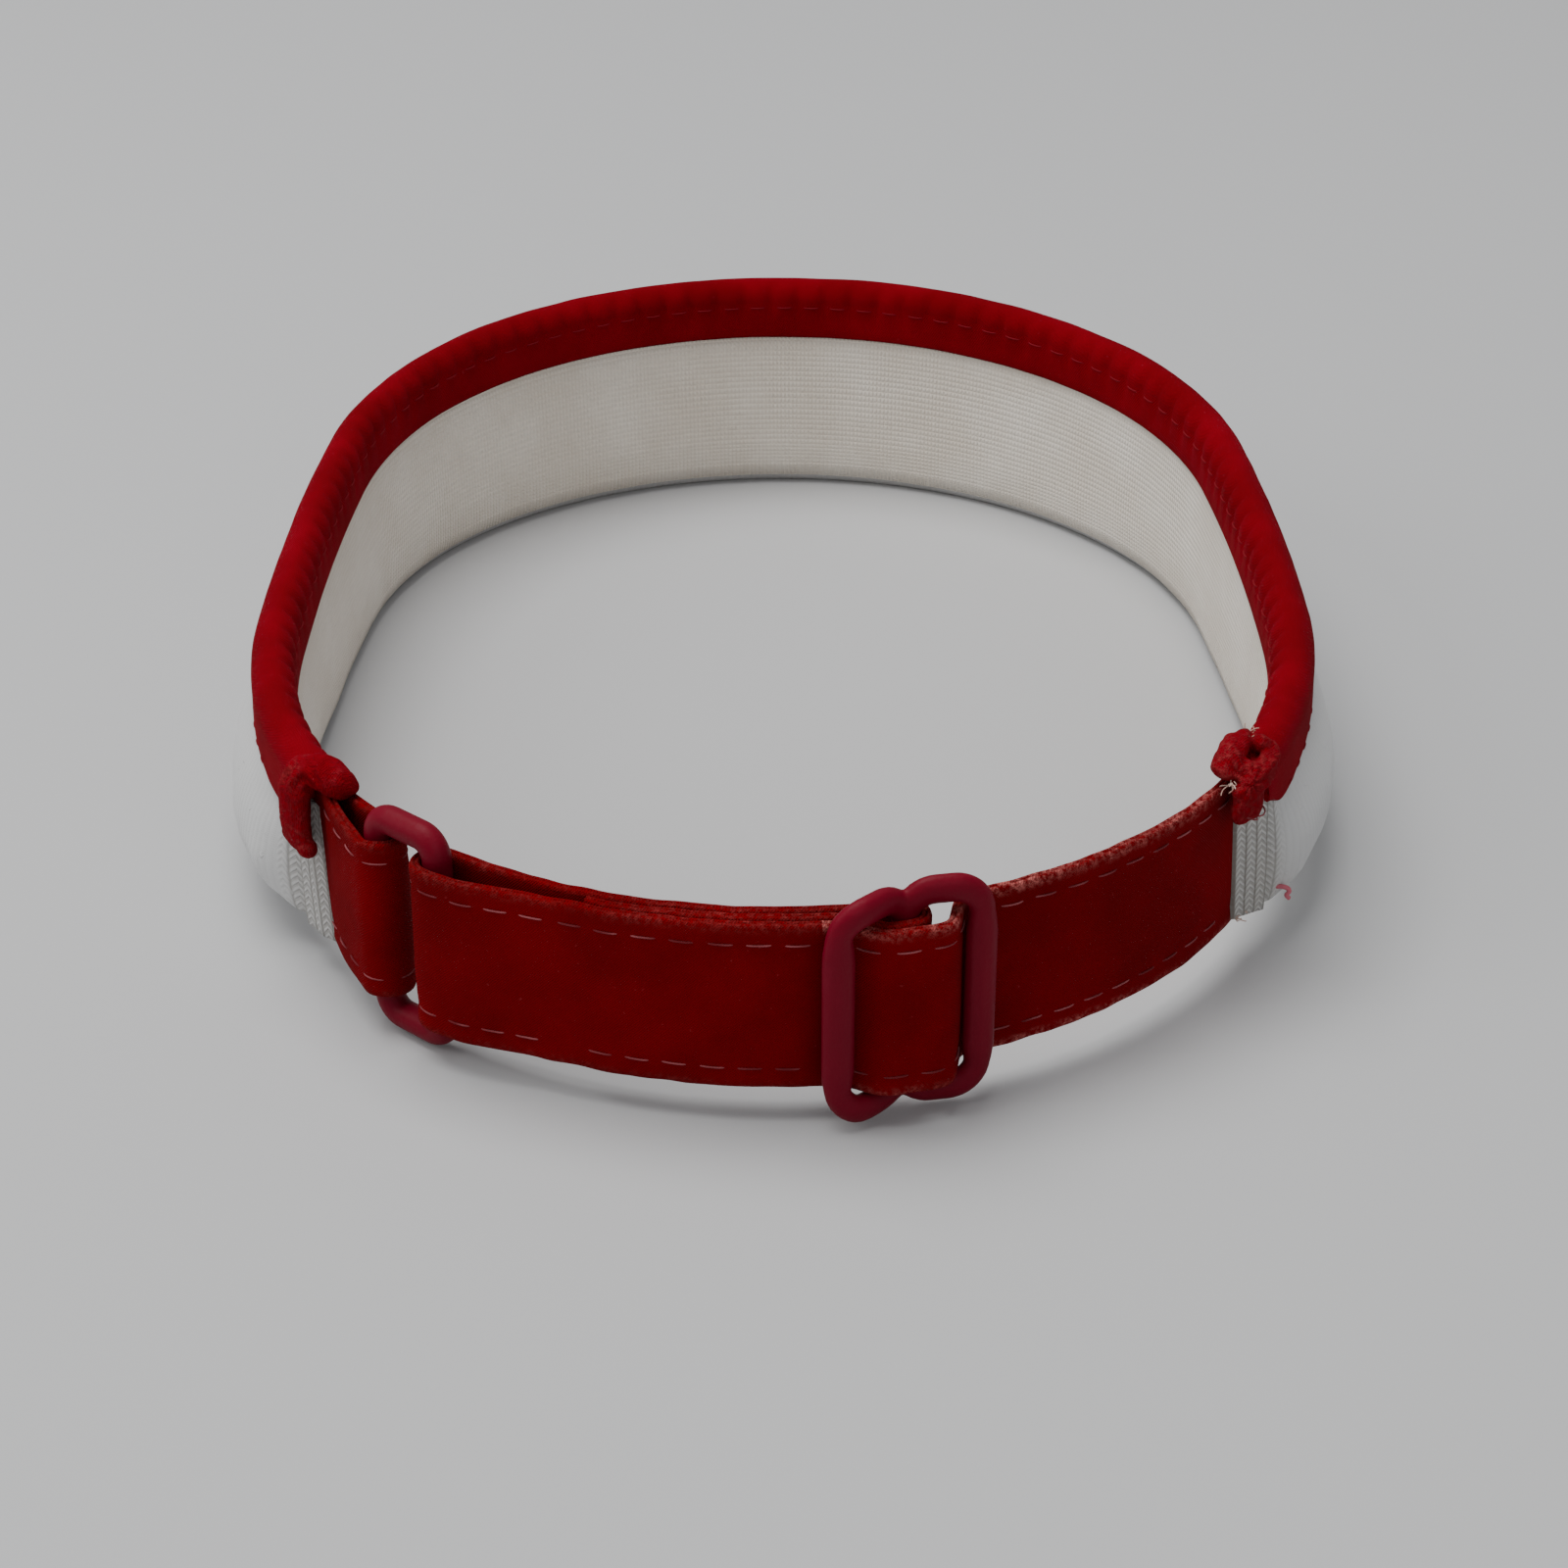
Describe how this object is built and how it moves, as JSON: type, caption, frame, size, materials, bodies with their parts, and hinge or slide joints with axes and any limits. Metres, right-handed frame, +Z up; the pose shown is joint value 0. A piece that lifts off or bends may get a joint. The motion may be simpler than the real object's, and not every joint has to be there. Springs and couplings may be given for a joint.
{
  "type": "adjustable headband",
  "caption": "Padded white knit headband with a rolled red binding, closed at the nape by a red cotton strap that adjusts through a plastic slider and a ring.",
  "frame": {"origin": "middle of the object's outer box, on the plane its lower edge stands on", "axes": "+Z up towards the bound edge, +Y towards the wearer's forehead, so the strap with its slider is at -Y; +X is the wearer's right when seen from behind"},
  "size_m": [0.1672, 0.2147, 0.0395],
  "materials": {
    "white_knit": "rib knit, matt",
    "cream_lining": "brushed jersey, matt",
    "foam": "open-cell padding, matt",
    "red_binding": "woven cotton, matt",
    "red_cotton": "woven cotton, worn edges",
    "raspberry_plastic": "moulded, semi-matt"
  },
  "bodies": {
    "headband": {"outer_cover": "white_knit", "foam_padding": "foam", "inner_lining": "cream_lining", "top_binding": "red_binding", "binding_cord": "foam", "binding_end_left": "red_binding", "binding_end_right": "red_binding", "binding_fold_left": "red_binding", "binding_fold_right": "red_binding", "ring_tab": "red_cotton", "strap_anchor": "red_cotton", "strap_right_run": "red_cotton", "strap_outer_run": "red_cotton", "strap_inner_run": "red_cotton", "strap_outer_ring_end": "red_cotton", "strap_inner_ring_end": "red_cotton"},
    "slider_group": {"slider": "raspberry_plastic", "strap_threaded_loop": "red_cotton", "strap_bar_loop": "red_cotton"},
    "ring_group": {"adjuster_ring": "raspberry_plastic", "strap_ring_fold": "red_cotton"}
  },
  "joints": [
    {"name": "slider_travel", "type": "hinge", "parent": "headband", "child": "slider_group", "pos_m": [0, -0.02643, 0], "axis": [0, 0, 1], "range_deg": [-9, 26], "deforming": ["strap_right_run", "strap_outer_run", "strap_inner_run"]},
    {"name": "ring_swing", "type": "hinge", "parent": "headband", "child": "ring_group", "pos_m": [-0.05357, -0.0804, 0], "axis": [0, 0, -1], "range_deg": [-6, 35], "deforming": ["strap_outer_ring_end", "strap_inner_ring_end"]}
  ]
}
